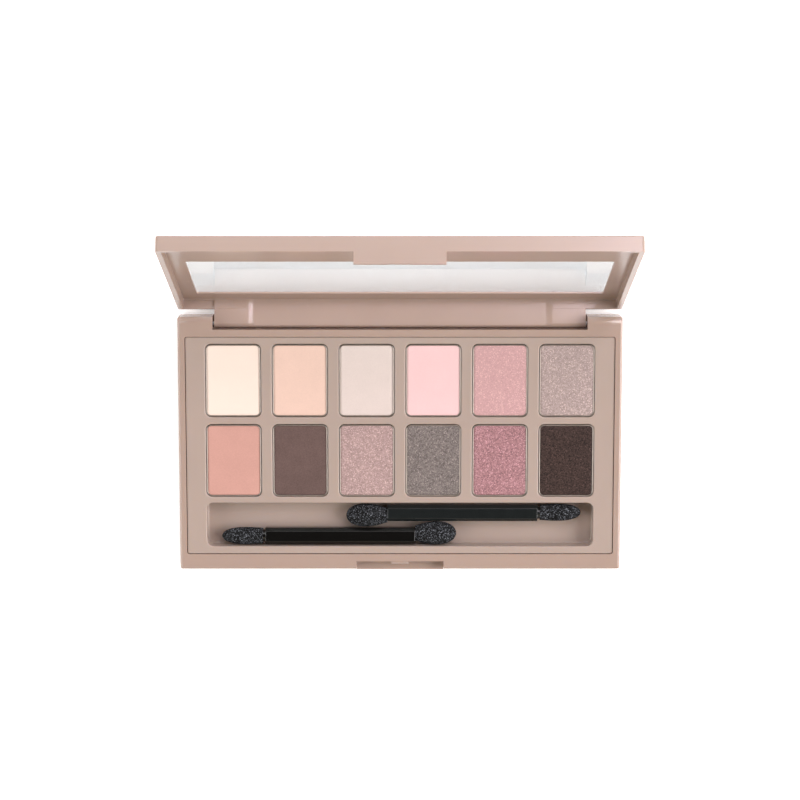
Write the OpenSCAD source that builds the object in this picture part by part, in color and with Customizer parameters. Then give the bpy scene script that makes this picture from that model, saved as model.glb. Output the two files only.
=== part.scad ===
// Pressed powder eyeshadow palette: a flat case with a tray of twelve pans, a lid with a clear
// window that swings on two hinge pins, and two sponge applicators lying in a long trough.
// Millimetres. The origin is the centre of the case's underside, with +X to the right, +Y to the
// hinge and +Z up. The lid is drawn open, resting on the stop ledge of the case.

/* [Pans] */
// Width of a pan well, along X
well_w = 16.9; // [13:0.1:21]
// Length of a pan well, along Y
well_l = 22.4; // [17:0.1:28]
// Corner radius of a pan well
well_r = 1.75; // [1:0.05:4]
// Depth of a pan well below the deck
well_depth = 4.2; // [3:0.1:5.1]
// Rib of deck between two wells side by side
rib_x = 3.38; // [2:0.01:8]
// Rib of deck between the two rows of wells
rib_y = 2.27; // [1.8:0.01:8]
// Gap between a pan and its well, all round
pan_gap = 0.15; // [0.05:0.01:0.4]
// Sheet thickness of a tin pan
pan_wall = 0.35; // [0.2:0.01:0.8]
// Height of the deck above the pans' rims
pan_drop = 0.1; // [0:0.01:0.5]
// Height of a pan's rim above its powder
powder_drop = 0.15; // [0.05:0.01:0.6]
// Thickness of the glue dot under a pan
glue_t = 0.2; // [0.1:0.01:0.4]
// Radius of the glue dot under a pan
glue_r = 4; // [2:0.1:6]

/* [Tray] */
// Thickness of the deck and of the floors under the wells and the trough
tray_wall = 1.0; // [0.6:0.05:1.4]
// Deck between the end wells and the tray's side edges
deck_side = 6.0; // [3:0.1:12]
// Deck between the rear wells and the tray's rear edge
deck_rear = 2.1; // [1.5:0.05:8]
// Deck between the trough and the tray's front edge
deck_front = 2.26; // [1.5:0.01:8]
// Deck between the front wells and the trough
deck_trough = 1.95; // [1.5:0.05:8]
// Depth of the trough below the deck
trough_depth = 5.4; // [4.4:0.1:9]
// Corner radius of the trough
trough_r = 2.0; // [1:0.1:3]
// Corner radius of the tray
tray_r = 0.6; // [0.3:0.1:3]
// Gap between the tray and the case, all round
seam = 0.15; // [0.05:0.01:0.4]
// Radius of the snap beads that hold the tray down
bead_r = 0.35; // [0.2:0.01:0.4]
// Length of a snap bead
bead_l = 12; // [6:1:20]

/* [Case] */
// Floor thickness of the case
shell_floor = 1.2; // [0.8:0.05:2.5]
// Free space under the trough's floor
under_trough = 0.9; // [0.3:0.05:4]
// Height of the case's rim above the deck
deck_drop = 0.3; // [0.1:0.05:1.2]
// Side wall of the case
side_wall = 2.2; // [1.5:0.1:5]
// Front wall of the case, which holds the latch recess
front_wall = 4.75; // [4.2:0.01:8]
// Wall between the tray and the hinge notch
rear_wall = 2.14; // [1.5:0.01:5]
// Corner radius of the case and lid, seen from above
case_r = 0.8; // [0.6:0.1:3]
// Rounding of the case's upper and lower edges
edge_r = 0.9; // [0.3:0.1:1.8]
// Gap between the closed lid's rim and the case
rim_gap = 0.1; // [0.05:0.01:0.3]

/* [Lid] */
// Height of the lid from its rim to its outer face
lid_h = 4.5; // [3.6:0.1:8]
// Inside depth of the lid behind its rim
lid_depth = 3.0; // [2.4:0.1:3.2]
// Side wall of the lid
lid_wall = 1.55; // [1:0.05:3]
// Rounding of the lid's outer edges
lid_edge_r = 0.4; // [0.2:0.1:1.2]
// Lid frame between the window and the lid's sides
frame_side = 6.3; // [4:0.1:14]
// Lid frame between the window and the lid's front edge
frame_front = 25.1; // [8:0.1:34]
// Lid frame between the window and the lid's rear edge
frame_rear = 9.0; // [4:0.1:20]
// Thickness of the clear window sheet
window_t = 1.0; // [0.5:0.05:1.1]
// Overlap of the window sheet on the frame
window_lap = 1.2; // [0.6:0.1:2]
// Corner radius of the window opening
window_r = 0.5; // [0.2:0.1:2]
// Gap between the window sheet and its rebate
window_gap = 0.1; // [0.05:0.01:0.3]

/* [Hinge] */
// Lid angle at the stop, measured from closed
open_angle = 109; // [95:1:115]
// Radius of the hinge knuckles
knuckle_r = 1.3; // [1.15:0.05:1.6]
// Length of each end knuckle
knuckle_l = 9.85; // [6:0.05:16]
// Depth of the notch that the knuckles turn in
notch_l = 3.9; // [3.8:0.01:8]
// Width of each ear beside the notch
ear_w = 10.65; // [6:0.05:16]
// Gap between the lid's leaf and each ear
ear_gap = 0.4; // [0.2:0.05:1]
// Gap between the knuckles and the notch's front wall
knuckle_gap = 0.16; // [0.1:0.01:0.5]
// Depth of the hinge axis below the case's rim
axis_drop = 4.25; // [3.6:0.05:4.8]
// Radius of a hinge pin
pin_r = 0.6; // [0.4:0.01:0.7]
// Radial clearance of a pin in the lid
pin_clear = 0.05; // [0.02:0.01:0.1]
// Depth of a pin's outer end below the case's side
pin_sink = 0.6; // [0:0.1:2]
// Gap beyond a pin's inner end
pin_end_gap = 0.2; // [0.1:0.1:1]
// How much thinner the leaf is between its end knuckles
leaf_relief = 0.25; // [0:0.01:0.3]
// Gap between the barrel and the stop ledge
ledge_gap = 0.15; // [0.1:0.01:0.4]
// Gap left between the open leaf and the stop ledge
stop_gap = 0.02; // [0:0.01:0.1]

/* [Latch] */
// Width of the lid's latch tab
tab_w = 25.6; // [12:0.1:40]
// Length of the tab below the lid's rim
tab_h = 3.45; // [2.8:0.05:4.2]
// Thickness of the tab
tab_t = 1.6; // [1.4:0.05:2]
// Gap between the tab and each side of its recess
tab_side_gap = 0.55; // [0.2:0.05:1.5]
// Gap between the tab's foot and the ledge of its recess
tab_foot_gap = 0.55; // [0.2:0.05:1.5]
// Depth of the latch recess in the case's front
recess_l = 2.5; // [2.2:0.05:2.8]
// How far the thumb lip stands out under the tab
lip_l = 0.8; // [0.4:0.05:1.5]
// Thickness of the thumb lip at its edge
lip_t = 0.9; // [0.6:0.1:1.5]
// Width of the catch nub
nub_w = 5.3; // [3:0.1:10]
// How far the catch nub stands out
nub_r = 1.0; // [0.5:0.05:1.1]
// Depth of the nub's middle below the case's rim
nub_drop = 1.6; // [1.2:0.1:2.4]
// Gap between the nub and the tab's groove
nub_gap = 0.2; // [0.15:0.01:0.4]

/* [Applicators] */
// Whole length of an applicator
applicator_l = 72; // [58:0.5:88]
// Width of a handle
handle_w = 5.0; // [4:0.1:6.5]
// Height of a handle
handle_h = 3.8; // [3:0.1:5]
// Bevel of a handle's long edges
handle_bevel = 0.95; // [0.4:0.05:1.3]
// Length of the large sponge tip
large_l = 12.6; // [10:0.1:16]
// Width of the large sponge tip
large_w = 7.2; // [6:0.1:9]
// Thickness of the large sponge tip
large_t = 5.6; // [4.4:0.1:6.8]
// Length of the small sponge tip
small_l = 12.6; // [10:0.1:16]
// Width of the small sponge tip
small_w = 5.4; // [4.4:0.1:6]
// Thickness of the small sponge tip
small_t = 4.6; // [3.6:0.1:5.4]
// Sideways set of the small tip
small_shift = 0.1; // [0:0.05:0.3]
// Length of the collar behind the small tip
collar_l = 0.7; // [0.4:0.1:1.5]
// Length of the flat paddle inside a tip
paddle_l = 8; // [4:0.5:9]
// Width of the flat paddle
paddle_w = 3.0; // [2:0.1:3.6]
// Thickness of the flat paddle
paddle_t = 1.4; // [1:0.1:2]
// Gap between a large tip and the trough wall
tip_gap = 0.1; // [0.05:0.01:0.5]
// Gap between one applicator's handle and the other's tip
pass_gap = 0.25; // [0.2:0.01:1]
// Gap between the front handle and the trough's front wall
front_gap = 0.45; // [0.2:0.05:1]
// Gap between the rear handle and the trough's rear wall
rear_gap = 1.0; // [0.9:0.05:2]
// Reach of the front applicator's large tip beyond the middle
front_reach = 17.3; // [16.5:0.1:40]
// Reach of the rear applicator's large tip beyond the middle
rear_reach = 16.5; // [16.5:0.1:40]
// Least gap between a tip's end and the trough's end
end_gap = 1.0; // [0.5:0.1:3]
// Gap between a tip and the trough's floor
rest_gap = 0.05; // [0.02:0.01:0.2]

/* [Label] */
// Underside left free at each end of the label
label_side = 24; // [10:1:40]
// Distance of the label's front edge behind the middle of the underside
label_front = 3; // [2:0.5:8]
// Length of the label, along Y
label_l = 22; // [10:1:28]
// Depth of the label's recess
label_recess = 0.3; // [0.2:0.05:0.5]
// Thickness of the label
label_t = 0.15; // [0.05:0.01:0.2]

/* [Hidden] */
$fn = 48;
columns = 6;
SHADES = ["cream", "peach", "ivory", "petal_pink", "rose", "taupe",
          "coral", "cocoa", "mauve", "slate", "berry", "espresso"];
PAINT = ["#feedde", "#f7d3c2", "#ecdbd3", "#fcd5d4", "#deb0b0", "#c2ada8",
         "#deab9d", "#77625d", "#c4a6a2", "#8f8581", "#bd8e91", "#50413c"];
rows = len(SHADES) / columns;
PLASTIC = "#c3af9f";
FOAM_FN = 32;
slop = 1; // how far a cutter runs past the face that it opens
inner_r = 0.3; // corner radius of the lid's inside
relief_ramp = 2.4; // length of the slope from an end knuckle down to the thinner leaf
stop_side_gap = 1; // how far the stop ledge ends short of each end knuckle
nose = 2.6; // how square the nose of a sponge is: 2 is an ellipse
large_swell = 0.5; // share of the large tip's length at which it is widest
small_swell = 0.4; // share of the small tip's length at which it is widest
large_neck = 0.65; // share of the large tip's width that is left at its root
small_neck = 0.9; // share of the small tip's width that is left at its root

// Plan sizes, from the contents outwards
span_x = columns * well_w + (columns - 1) * rib_x;
span_y = rows * well_l + (rows - 1) * rib_y;
trough_w = tip_gap + large_w + pass_gap + handle_w + rear_gap;
tray_w = span_x + 2 * deck_side;
tray_l = deck_rear + span_y + deck_trough + trough_w + deck_front;
case_w = tray_w + 2 * (seam + side_wall);
case_l = front_wall + seam + tray_l + seam + rear_wall + notch_l;

// Places along Y
case_front = -case_l / 2;
case_rear = case_l / 2;
tray_front = case_front + front_wall + seam;
tray_y = tray_front + tray_l / 2;
trough_front = tray_front + deck_front;
trough_rear = trough_front + trough_w;
wells_front = trough_rear + deck_trough;
notch_front = case_rear - notch_l;
axis_y = notch_front + knuckle_gap + knuckle_r;
recess_back = case_front + recess_l;
recess_w = tab_w + 2 * tab_side_gap;
label_y = label_front + label_l / 2;

// Heights
trough_z = shell_floor + under_trough + tray_wall;
deck_z = trough_z + trough_depth;
base_h = deck_z + deck_drop;
well_z = deck_z - well_depth;
pan_z = well_z + glue_t;
pan_h = deck_z - pan_drop - pan_z;
rim_z = base_h + rim_gap;
lid_top = rim_z + lid_h;
lid_face = rim_z + lid_depth;
axis_z = base_h - axis_drop;
nub_z = base_h - nub_drop;
tab_foot = rim_z - tab_h;
recess_z = tab_foot - tab_foot_gap;

// Pans
pan_w = well_w - 2 * pan_gap;
pan_l = well_l - 2 * pan_gap;
pan_r = well_r - pan_gap;

// Lid, drawn closed and then swung open
lid_l = axis_y - case_front;
lid_y = (axis_y + case_front) / 2;
window_w = case_w - 2 * frame_side;
window_l = lid_l - frame_front - frame_rear;
window_y = case_front + frame_front + window_l / 2;
notch_w = case_w - 2 * ear_w;
leaf_w = notch_w - 2 * ear_gap;
relief_w = leaf_w - 2 * knuckle_l;

// Stop ledge: its rear edge just meets the underside of the open leaf
leaf_rise = rim_z - axis_z;
leaf_a = [knuckle_r * cos(open_angle), -knuckle_r * sin(open_angle)];
leaf_b = [leaf_rise * sin(open_angle), leaf_rise * cos(open_angle)];
leaf_slope = (leaf_b.y - leaf_a.y) / (leaf_b.x - leaf_a.x);
stop_z = axis_z + leaf_a.y + leaf_slope * (case_rear - axis_y - leaf_a.x) - stop_gap;
barrel_z = axis_z - knuckle_r - ledge_gap;
stop_w = relief_w - 2 * stop_side_gap;
pin_end = case_w / 2 - pin_sink;
pin_start = leaf_w / 2 - knuckle_l + pin_end_gap;

// Applicators
applicator_z = trough_z + rest_gap + large_t / 2;
front_axis_y = trough_front + front_gap + handle_w / 2;
rear_axis_y = trough_rear - rear_gap - handle_w / 2;
// Sideways set of a large tip, which leaves the tip gap between it and the nearer wall
large_shift = tip_gap + large_w / 2 - handle_w / 2 - front_gap;
shortest_reach = applicator_l - span_x / 2 + end_gap;
front_end = max(front_reach, shortest_reach);
rear_end = max(rear_reach, shortest_reach);
handle_l = applicator_l - small_l - large_l;

// A rectangle about the origin whose corners are true arcs.
module round_rect(w, l, r) {
    square([w - 2 * r, l], center = true);
    square([w, l - 2 * r], center = true);
    for (x = [-1, 1], y = [-1, 1]) translate([x * (w / 2 - r), y * (l / 2 - r)]) circle(r);
}

// A flat-topped block with round corners in plan, standing on z = 0.
module block(w, l, r, h) {
    linear_extrude(h) round_rect(w, l, r);
}

// A block whose long edges are rounded too: the upper ones, and the lower ones if both is true.
module soft_block(w, l, h, corner, edge, both) {
    foot = both ? edge : 0;
    intersection() {
        block(w, l, corner, h);
        for (turn = [0, 90]) rotate([90, 0, turn]) linear_extrude(max(w, l) + slop, center = true)
            soft_side(turn == 0 ? w : l, h, edge, foot);
    }
}

// The side view of a soft block.
module soft_side(w, h, edge, foot) {
    translate([0, h / 2]) round_rect(w, h, edge);
    if (foot == 0) translate([-w / 2, 0]) square([w, h / 2]);
}

// Runs its children at the middle of each well.
module each_well() {
    for (i = [0 : len(SHADES) - 1]) at_well(i) children();
}

module at_well(i) {
    row = floor(i / columns);
    x = -span_x / 2 + well_w / 2 + (i % columns) * (well_w + rib_x);
    y = wells_front + span_y - well_l / 2 - row * (well_l + rib_y);
    translate([x, y, 0]) children();
}

// Swings the closed lid open about the hinge axis.
module opened() {
    translate([0, axis_y, axis_z]) rotate([-open_angle, 0, 0])
        translate([0, -axis_y, -axis_z]) children();
}

// A bar along X, centred on x = 0, whose outline is drawn in Y and Z.
module bar_x(length) {
    rotate([90, 0, 90]) linear_extrude(length, center = true) children();
}

// A round rod along X from x0 to x1 on the hinge axis.
module axis_rod(x0, x1, r) {
    translate([x0, axis_y, axis_z]) rotate([0, 90, 0]) cylinder(r = r, h = x1 - x0);
}

// Snap beads on the long sides of the tray; room makes the grooves that they click into.
module snap_beads(room) {
    for (x = [-1, 1], side = [-1, 1])
        translate([x * span_x / 4 - bead_l / 2 - room, tray_y + side * tray_l / 2, trough_z])
            rotate([0, 90, 0]) cylinder(r = bead_r + room, h = bead_l + 2 * room);
}

// Outer case: floor, walls, hinge ears, stop ledge and latch recess in one moulding.
module base_shell() {
    pocket_w = tray_w + 2 * seam;
    pocket_l = tray_l + 2 * seam;
    color(PLASTIC) difference() {
        union() {
            difference() {
                soft_block(case_w, case_l, base_h, case_r, edge_r, true);
                translate([-notch_w / 2, notch_front, -slop])
                    cube([notch_w, notch_l + slop, base_h + 2 * slop]);
            }
            bar_x(stop_w) polygon([[notch_front - slop, 0], [case_rear - edge_r, 0],
                [case_rear, edge_r], [case_rear, stop_z], [notch_front - slop, barrel_z]]);
            thumb_lip();
        }
        translate([0, tray_y, shell_floor]) block(pocket_w, pocket_l, tray_r + seam, base_h);
        snap_beads(seam);
        translate([-recess_w / 2, case_front - slop, recess_z])
            difference() {
                cube([recess_w, recess_l + slop, base_h]);
                translate([(recess_w - nub_w) / 2, recess_l + slop, nub_z - recess_z])
                    rotate([0, 90, 0]) cylinder(r = nub_r, h = nub_w);
            }
        ear_round();
        for (side = [-1, 1]) mirror([side < 0 ? 1 : 0, 0, 0])
            axis_rod(notch_w / 2 - slop, case_w / 2 + slop, pin_r);
        translate([0, label_y, -slop])
            block(case_w - 2 * label_side, label_l, case_r, label_recess + slop);
    }
}

// Small lip under the latch recess, for the thumb that lifts the lid's tab.
module thumb_lip() {
    edge = recess_z - lip_t;
    bar_x(recess_w) polygon([[case_front + slop, recess_z], [case_front - lip_l, recess_z],
        [case_front - lip_l, edge], [case_front, edge - lip_l], [case_front + slop, edge - lip_l]]);
}

// Cutter that rounds the ears' rear corners about the hinge axis, so that the lid's rim swings
// over them with the rim gap to spare.
module ear_round() {
    bar_x(case_w + 2 * slop) translate([axis_y, axis_z]) difference() {
        square([case_rear - axis_y + slop, axis_drop + slop]);
        circle(axis_drop);
    }
}

// Tray: deck with twelve wells and the applicator trough, snapped into the case.
module pan_tray() {
    foot = shell_floor;
    side_cut = deck_side - 2 * tray_wall;
    color("#c0ac9e") difference() {
        union() {
            translate([0, tray_y, foot]) block(tray_w, tray_l, tray_r, deck_z - foot);
            snap_beads(0);
        }
        each_well() {
            translate([0, 0, well_z]) block(well_w, well_l, well_r, well_depth + slop);
            translate([0, 0, foot - slop])
                block(well_w, well_l, well_r, well_z - tray_wall - foot + slop);
        }
        translate([0, trough_front + trough_w / 2, trough_z])
            block(span_x, trough_w, trough_r, trough_depth + slop);
        translate([0, trough_front + trough_w / 2, foot - slop])
            block(span_x, trough_w, trough_r, under_trough + slop);
        for (side = [-1, 1])
            translate([side * (tray_w - deck_side) / 2, tray_y, foot - slop])
                block(side_cut, tray_l - 2 * tray_wall, tray_r, deck_z - tray_wall - foot + slop);
    }
}

// Tin pan for shade i.
module pan(i) {
    color("#d9d4cc") at_well(i) difference() {
        translate([0, 0, pan_z]) block(pan_w, pan_l, pan_r, pan_h);
        translate([0, 0, pan_z + pan_wall])
            block(pan_w - 2 * pan_wall, pan_l - 2 * pan_wall, pan_r - pan_wall, pan_h);
    }
}

// Pressed powder cake of shade i.
module powder(i) {
    color(PAINT[i]) at_well(i) translate([0, 0, pan_z + pan_wall])
        block(pan_w - 2 * pan_wall, pan_l - 2 * pan_wall, pan_r - pan_wall,
              pan_h - pan_wall - powder_drop);
}

// One dot of glue under each pan.
module pan_glue() {
    color("#e8e2cf") each_well() translate([0, 0, well_z]) cylinder(r = glue_r, h = glue_t);
}

// Blank paper label in its recess on the underside.
module underside_label() {
    color("#efe9e2") translate([0, label_y, label_recess - label_t])
        block(case_w - 2 * label_side - 2 * seam, label_l - 2 * seam, case_r, label_t);
}

// Lid moulding: frame, side walls, latch tab and the hinge leaf with its end knuckles.
module lid_frame() {
    color(PLASTIC) opened() difference() {
        union() {
            difference() {
                translate([0, lid_y, rim_z])
                    soft_block(case_w, lid_l, lid_h, case_r, lid_edge_r, false);
                translate([0, lid_y, rim_z - slop])
                    block(case_w - 2 * lid_wall, lid_l - 2 * lid_wall, inner_r,
                          lid_depth + slop);
            }
            lid_leaf();
            latch_tab();
        }
        translate([0, window_y, rim_z]) block(window_w, window_l, window_r, lid_h + slop);
        translate([0, window_y, lid_top - window_t])
            block(window_w + 2 * window_lap, window_l + 2 * window_lap, window_r + window_lap, lid_h);
        leaf_face_cut();
        for (side = [-1, 1]) mirror([side < 0 ? 1 : 0, 0, 0])
            axis_rod(leaf_w / 2 - knuckle_l, leaf_w / 2 + slop, pin_r + pin_clear);
    }
}

// Leaf that runs from the lid's rear wall down to the barrel on the hinge axis.
module lid_leaf() {
    bar_x(leaf_w) {
        polygon([[axis_y - lid_wall, lid_face], [axis_y - knuckle_r, base_h],
                 [axis_y - knuckle_r, axis_z], [axis_y + knuckle_r, axis_z],
                 [axis_y, rim_z], [axis_y, lid_face]]);
        translate([axis_y, axis_z]) circle(knuckle_r);
    }
}

// Cutter that slants the leaf's front face back to the barrel and thins it between the knuckles.
module leaf_face_cut() {
    front = axis_y - knuckle_r;
    back = front + leaf_relief;
    bar_x(leaf_w) polygon([[axis_y - lid_wall, lid_face], [front, base_h], [front - slop, base_h]]);
    translate([0, 0, axis_z - knuckle_r - slop])
        linear_extrude(lid_face - axis_z + knuckle_r + slop)
            polygon([[-relief_w / 2, front - slop], [relief_w / 2, front - slop],
                     [relief_w / 2, front], [relief_w / 2 - relief_ramp, back],
                     [-relief_w / 2 + relief_ramp, back], [-relief_w / 2, front]]);
}

// Tab that drops into the case's front recess, with a groove that runs over the catch nub.
module latch_tab() {
    groove_y = recess_back - nub_r - nub_gap;
    groove_w = nub_w + 2 * tab_side_gap;
    difference() {
        translate([-tab_w / 2, case_front, tab_foot]) cube([tab_w, tab_t, tab_h + lid_depth]);
        translate([-groove_w / 2, groove_y, tab_foot - slop]) cube([groove_w, tab_t, tab_h + slop]);
    }
}

// Clear sheet glued into the lid's rebate, flush with the outer face.
module lid_window() {
    grow = 2 * (window_lap - window_gap);
    color("#eef2f4", 0.35) opened() translate([0, window_y, lid_top - window_t])
        block(window_w + grow, window_l + grow, window_r + grow / 2, window_t);
}

// Steel pin pressed into one ear and turning in the lid's knuckle; side is -1 or 1.
module hinge_pin(side) {
    color("#b8b8bc") mirror([side < 0 ? 1 : 0, 0, 0]) axis_rod(pin_start, pin_end, pin_r);
}

// Places an applicator drawn from its small tip's end at x = 0 to its large tip's end.
module in_trough(place) {
    front = place == "front";
    translate([front ? front_end : -rear_end, front ? front_axis_y : rear_axis_y, applicator_z])
        rotate([0, 0, front ? 0 : 180]) translate([-applicator_l, 0, 0]) children();
}

// Handle of an applicator: a bevelled bar, a thin collar and a flat paddle for each tip.
module applicator_handle(place) {
    w = handle_w / 2;
    h = handle_h / 2;
    b = handle_bevel;
    color("#1c1b1a") in_trough(place) {
        translate([small_l + handle_l / 2 + collar_l / 2, 0, 0]) bar_x(handle_l - collar_l)
            polygon([[-w, b - h], [b - w, -h], [w - b, -h], [w, b - h],
                     [w, h - b], [w - b, h], [b - w, h], [-w, h - b]]);
        translate([small_l, 0, 0]) rotate([0, 90, 0]) cylinder(r = h, h = collar_l);
        paddles();
    }
}

module paddles() {
    translate([small_l - paddle_l, -paddle_w / 2, -paddle_t / 2])
        cube([paddle_l, paddle_w, paddle_t]);
    translate([applicator_l - large_l, -paddle_w / 2, -paddle_t / 2])
        cube([paddle_l, paddle_w, paddle_t]);
}

// Sponge tip along +X from x = 0 to l: a short neck that swells and closes in a round nose.
module sponge(l, w, t, neck, swell) {
    steps = 12;
    outline = [for (i = [0 : steps]) let (u = i / steps)
        [l * (1 - cos(180 * u)) / 2, w / 2 * sponge_width(u, neck, swell)]];
    scale([1, 1, t / w]) rotate([0, 90, 0]) rotate_extrude($fn = FOAM_FN)
        polygon(concat([[0, 0]], [for (p = outline) [p.y, p.x]]));
}

// Half width of a sponge at share u of its way, where neck is the share left at its root and
// swell is the share of its length at which it is widest.
function sponge_width(u, neck, swell) =
    let (s = (1 - cos(180 * u)) / 2)
    u == 1 ? 0 : s < swell ? neck + (1 - neck) * sin(90 * s / swell)
                 : sqrt(max(0, 1 - pow((s - swell) / (1 - swell), nose)));

module applicator_large_tip(place) {
    color("#2b2a2a") in_trough(place) difference() {
        translate([applicator_l - large_l, large_shift, 0])
            sponge(large_l, large_w, large_t, large_neck, large_swell);
        paddles();
    }
}

module applicator_small_tip(place) {
    color("#2b2a2a") in_trough(place) difference() {
        translate([small_l, -small_shift, 0]) mirror([1, 0, 0])
            sponge(small_l, small_w, small_t, small_neck, small_swell);
        paddles();
    }
}

base_shell();
pan_tray();
for (i = [0 : len(SHADES) - 1]) {
    pan(i);
    powder(i);
}
pan_glue();
underside_label();
lid_frame();
lid_window();
hinge_pin(-1);  // hinge_pin_left
hinge_pin(1);  // hinge_pin_right
for (place = ["front", "rear"]) {
    applicator_handle(place);
    applicator_large_tip(place);
    applicator_small_tip(place);
}
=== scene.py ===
import math

import bmesh
import bpy
from mathutils import Matrix, Vector, noise


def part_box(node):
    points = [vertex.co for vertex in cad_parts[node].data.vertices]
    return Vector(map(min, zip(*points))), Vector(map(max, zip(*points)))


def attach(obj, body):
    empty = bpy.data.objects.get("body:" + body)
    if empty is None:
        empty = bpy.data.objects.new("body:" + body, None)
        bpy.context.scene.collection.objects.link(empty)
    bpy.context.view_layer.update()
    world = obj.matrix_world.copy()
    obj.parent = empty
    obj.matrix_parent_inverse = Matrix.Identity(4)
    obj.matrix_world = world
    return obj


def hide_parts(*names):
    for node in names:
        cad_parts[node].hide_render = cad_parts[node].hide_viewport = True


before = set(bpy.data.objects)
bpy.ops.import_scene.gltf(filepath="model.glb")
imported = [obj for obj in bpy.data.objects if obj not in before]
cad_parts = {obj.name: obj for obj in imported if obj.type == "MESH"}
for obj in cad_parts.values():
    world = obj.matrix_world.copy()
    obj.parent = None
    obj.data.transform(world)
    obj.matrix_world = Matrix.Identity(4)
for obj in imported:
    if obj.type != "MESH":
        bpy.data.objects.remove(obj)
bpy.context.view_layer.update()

# ---------------------------------------------------------------- Case
# The lower half of the compact: one injection moulding in warm rose-beige plastic, with a
# pocket for the tray, two ears for the hinge pins, a stop ledge and a recess for the latch.
mm = 0.001
slop = 1 * mm
shell_low, shell_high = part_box("base_shell")
tray_low, tray_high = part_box("pan_tray")
pin_low, pin_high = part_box("hinge_pin_right")
rim = shell_high.z
axis_y = (pin_low.y + pin_high.y) / 2
axis_z = (pin_low.z + pin_high.z) / 2
pin_radius = (pin_high.z - pin_low.z) / 2
case_width = shell_high.x - shell_low.x
case_rear = shell_high.y
case_front = -case_rear
case_corner = 0.8 * mm
case_edge = 0.9 * mm
seam = 0.15 * mm
tray_corner = 0.6 * mm
bead_radius = 0.35 * mm
bead_length = 12 * mm
bead_x = 29.575 * mm
bead_z = 3.1 * mm
bead_sides = 16
floor_top = tray_low.z
notch_reach = 1.46 * mm
notch_front = axis_y - notch_reach
notch_half = 56.85 * mm
ledge_half = 45.6 * mm
ledge_front_z = 3.1 * mm
ledge_rear_z = 3.18 * mm
web_thickness = 0.8 * mm
recess_half = 13.35 * mm
recess_depth = 2.5 * mm
recess_back = case_front + recess_depth
recess_floor = 4.9 * mm
lip_half = recess_half
lip_length = case_front - shell_low.y
lip_thickness = 0.9 * mm
nub_half = 2.65 * mm
nub_radius = 1.0 * mm
nub_drop = 1.6 * mm
label_low, label_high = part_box("underside_label")
case_softness = 0.2 * mm
pocket_foot = 0.1 * mm
corner_steps = 6
edge_steps = 5
least_radius = 0.01 * mm


def piece(name, vertices, faces):
    """Adds one piece to the scene from its points and faces."""
    mesh = bpy.data.meshes.new(name)
    mesh.from_pydata([tuple(v) for v in vertices], [], faces)
    mesh.validate()
    made = bpy.data.objects.new(name, mesh)
    bpy.context.scene.collection.objects.link(made)
    return made


def plan_ring(half_x, half_y, radius, z):
    """A level rounded rectangle, anticlockwise, with corner_steps + 1 points on each corner."""
    radius = max(radius, least_radius)
    ring = []
    for quarter, (side_x, side_y) in enumerate([(1, 1), (-1, 1), (-1, -1), (1, -1)]):
        for step in range(corner_steps + 1):
            turn = math.radians(90) * (quarter + step / corner_steps)
            x = side_x * (half_x - radius) + radius * math.cos(turn)
            y = side_y * (half_y - radius) + radius * math.sin(turn)
            ring.append(Vector((x, y, z)))
    return ring


def loft(name, rings, centre=(0, 0)):
    """A closed solid through rings of equal count, capped at both ends."""
    count = len(rings[0])
    shift = Vector((centre[0], centre[1], 0))
    vertices = [point + shift for ring in rings for point in ring]
    faces = [tuple(reversed(range(count)))]
    for level in range(len(rings) - 1):
        for i in range(count):
            a = level * count + i
            b = level * count + (i + 1) % count
            faces.append((a, b, b + count, a + count))
    last = (len(rings) - 1) * count
    faces.append(tuple(range(last, last + count)))
    return piece(name, vertices, faces)


def foot_rings(half, corner, low, radius):
    """Rings up round a lower edge, or one ring where its radius is 0."""
    rings = []
    for step in range(edge_steps + 1 if radius else 1):
        turn = math.radians(90) * step / edge_steps
        inset = radius * (1 - math.sin(turn))
        z = low + radius * (1 - math.cos(turn))
        rings.append(plan_ring(half[0] - inset, half[1] - inset, corner - inset, z))
    return rings


def top_rings(half, corner, high, radius, inward=1):
    """Rings up round an upper edge, which turns in, or out where inward is -1."""
    rings = []
    for step in range(edge_steps + 1 if radius else 1):
        turn = math.radians(90) * step / edge_steps
        inset = inward * radius * (1 - math.cos(turn))
        z = high - radius * (1 - math.sin(turn))
        rings.append(plan_ring(half[0] - inset, half[1] - inset, corner - inset, z))
    return rings


def slab(name, half, corner, low, high, centre=(0, 0), foot=0, top=0):
    """A rounded block whose lower and upper edges are rounded by foot and top."""
    rings = foot_rings(half, corner, low, foot) + top_rings(half, corner, high, top)
    return loft(name, rings, centre)


def hollow(name, half, corner, low, high, centre=(0, 0), foot=0, mouth=0):
    """A cutter for a pocket with a filleted floor and a mouth that is rounded over."""
    rings = foot_rings(half, corner, low, foot) + top_rings(half, corner, high, mouth, -1)
    rings.append([point + Vector((0, 0, slop)) for point in rings[-1]])
    return loft(name, rings, centre)


def bar(name, outline, x_low, x_high):
    """A straight bar along X whose outline is a list of (y, z) points."""
    rings = [[Vector((x, y, z)) for y, z in outline] for x in (x_low, x_high)]
    return loft(name, rings)


def arc(centre, radius, start, end, steps=24):
    """Points (y, z) on an arc about centre, with its angles in degrees from +Y."""
    points = []
    for step in range(steps + 1):
        turn = math.radians(start + (end - start) * step / steps)
        points.append((centre[0] + radius * math.cos(turn), centre[1] + radius * math.sin(turn)))
    return points


def rod(name, radius, x_low, x_high, y, z, sides=40):
    """A round rod along X."""
    return bar(name, arc((y, z), radius, 0, 360 - 360 / sides, sides - 1), x_low, x_high)


def settle(made):
    """Applies the modifiers of a piece to its mesh."""
    graph = bpy.context.evaluated_depsgraph_get()
    mesh = bpy.data.meshes.new_from_object(made.evaluated_get(graph))
    made.modifiers.clear()
    made.data = mesh
    mesh.name = made.name


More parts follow.
